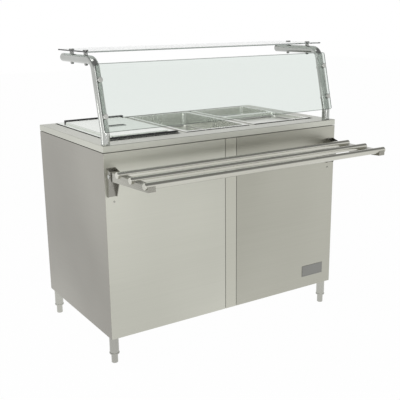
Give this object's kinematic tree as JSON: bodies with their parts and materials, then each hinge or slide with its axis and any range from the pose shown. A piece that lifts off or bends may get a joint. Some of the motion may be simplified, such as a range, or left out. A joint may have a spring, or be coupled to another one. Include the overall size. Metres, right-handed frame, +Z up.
{
  "type": "refrigerated self-service counter",
  "caption": "Stainless cabinet with a cooled well for gastronorm pans, a glass guard and shelf on bent posts, a fold-down tray slide and rear cupboard doors.",
  "frame": {"origin": "on the floor, at the middle of the outline seen from above", "axes": "+Z up, +X to the right along the front as the customer sees it, +Y from the customer to the operator"},
  "size_m": [1.16, 1.019, 1.244],
  "materials": {
    "stainless": "brushed stainless sheet",
    "polished": "polished stainless tube",
    "glass": "clear toughened glass",
    "foam": "rigid polyurethane foam",
    "copper": "copper tube",
    "black_plastic": "moulded black plastic",
    "grey_plastic": "moulded grey plastic",
    "switch_green": "translucent green rocker",
    "drain_brass": "nickelled brass fittings",
    "lever_red": "dipped steel lever",
    "galvanised": "galvanised steel",
    "black_paint": "black enamel",
    "fins": "aluminium"
  },
  "bodies": {
    "counter": {"arm_pins": "stainless", "base_tray": "stainless", "compressor": "black_paint", "condenser": "fins", "control_panel": "stainless", "cover_strip": "stainless", "door_pins": "stainless", "drain_pipe": "drain_brass", "evaporator_coil": "copper", "fan_motor": "black_paint", "fan_shroud": "black_paint", "front_glass": "glass", "front_panel_left": "stainless", "front_panel_right": "stainless", "glass_bolts": "polished", "inner_shelf": "stainless", "legs": "stainless", "louvre_panel": "stainless", "mullion": "stainless", "pan_bars": "stainless", "partition": "stainless", "post_left": "polished", "post_right": "polished", "rear_header": "stainless", "refrigerant_lines": "copper", "shelf_bolts": "polished", "side_panel_left": "stainless", "side_panel_right": "stainless", "switch_housing": "black_plastic", "thermostat": "black_plastic", "top_shelf": "glass", "unit_base": "galvanised", "wall_bracket_left": "stainless", "wall_bracket_right": "stainless", "well_insulation": "foam", "well_tank": "stainless", "worktop": "stainless"},
    "pan_left": {"pan_left": "stainless"},
    "lid_left": {"lid_left": "stainless"},
    "pan_middle": {"pan_middle": "stainless"},
    "half_pan_back": {"half_pan_back": "stainless"},
    "half_pan_front": {"half_pan_front": "stainless"},
    "door_left": {"door_left": "stainless", "door_handle_left": "stainless"},
    "door_right": {"door_right": "stainless", "door_handle_right": "stainless"},
    "valve_lever": {"valve_lever": "lever_red"},
    "fan": {"fan_blade": "fins"},
    "switch_rocker": {"switch_rocker": "switch_green"},
    "button_set": {"button_set": "grey_plastic"},
    "button_down": {"button_down": "grey_plastic"},
    "button_up": {"button_up": "grey_plastic"},
    "tray_slide": {"tray_rails": "stainless", "rail_caps": "polished", "tray_arm_left": "stainless", "tray_arm_right": "stainless"},
    "foot_front_left": {"foot_front_left": "stainless"},
    "foot_front_right": {"foot_front_right": "stainless"},
    "foot_back_left": {"foot_back_left": "stainless"},
    "foot_back_right": {"foot_back_right": "stainless"}
  },
  "joints": [
    {"name": "pan_left_lift", "type": "slide", "parent": "counter", "child": "pan_left", "axis": [0, 0, 1], "range_m": [0, 0.12]},
    {"name": "pan_middle_lift", "type": "slide", "parent": "counter", "child": "pan_middle", "axis": [0, 0, 1], "range_m": [0, 0.12]},
    {"name": "half_pan_back_lift", "type": "slide", "parent": "counter", "child": "half_pan_back", "axis": [0, 0, 1], "range_m": [0, 0.12]},
    {"name": "half_pan_front_lift", "type": "slide", "parent": "counter", "child": "half_pan_front", "axis": [0, 0, 1], "range_m": [0, 0.12]},
    {"name": "lid_lift", "type": "slide", "parent": "pan_left", "child": "lid_left", "axis": [0, 0, 1], "range_m": [0, 0.1]},
    {"name": "door_left_hinge", "type": "hinge", "parent": "counter", "child": "door_left", "pos_m": [-0.551, 0.4655, 0.136], "axis": [0, 0, 1], "range_deg": [0, 95]},
    {"name": "door_right_hinge", "type": "hinge", "parent": "counter", "child": "door_right", "pos_m": [0.2298, 0.4655, 0.136], "axis": [0, 0, -1], "range_deg": [0, 95]},
    {"name": "valve_turn", "type": "hinge", "parent": "counter", "child": "valve_lever", "pos_m": [-0.4375, 0.389, 0.6028], "axis": [0, 1, 0], "range_deg": [0, 90]},
    {"name": "fan_spin", "type": "hinge", "parent": "counter", "child": "fan", "pos_m": [0.401, 0.3485, 0.289], "axis": [0, 1, 0], "continuous": true},
    {"name": "switch_tilt", "type": "hinge", "parent": "counter", "child": "switch_rocker", "pos_m": [0.47, 0.4687, 0.6238], "axis": [1, 0, 0], "range_deg": [0, 16]},
    {"name": "button_set_press", "type": "slide", "parent": "counter", "child": "button_set", "axis": [0, -1, 0], "range_m": [0, 0.001], "stiffness_N_per_m": 600, "springref_m": -0.0005},
    {"name": "button_down_press", "type": "slide", "parent": "counter", "child": "button_down", "axis": [0, -1, 0], "range_m": [0, 0.001], "stiffness_N_per_m": 600, "springref_m": -0.0005},
    {"name": "button_up_press", "type": "slide", "parent": "counter", "child": "button_up", "axis": [0, -1, 0], "range_m": [0, 0.001], "stiffness_N_per_m": 600, "springref_m": -0.0005},
    {"name": "tray_fold", "type": "hinge", "parent": "counter", "child": "tray_slide", "pos_m": [0, -0.2145, 0.788], "axis": [1, 0, 0], "range_deg": [0, 90]},
    {"name": "foot_front_left_screw", "type": "slide", "parent": "counter", "child": "foot_front_left", "axis": [0, 0, -1], "range_m": [-0.015, 0.025]},
    {"name": "foot_front_right_screw", "type": "slide", "parent": "counter", "child": "foot_front_right", "axis": [0, 0, -1], "range_m": [-0.015, 0.025]},
    {"name": "foot_back_left_screw", "type": "slide", "parent": "counter", "child": "foot_back_left", "axis": [0, 0, -1], "range_m": [-0.015, 0.025]},
    {"name": "foot_back_right_screw", "type": "slide", "parent": "counter", "child": "foot_back_right", "axis": [0, 0, -1], "range_m": [-0.015, 0.025]}
  ]
}
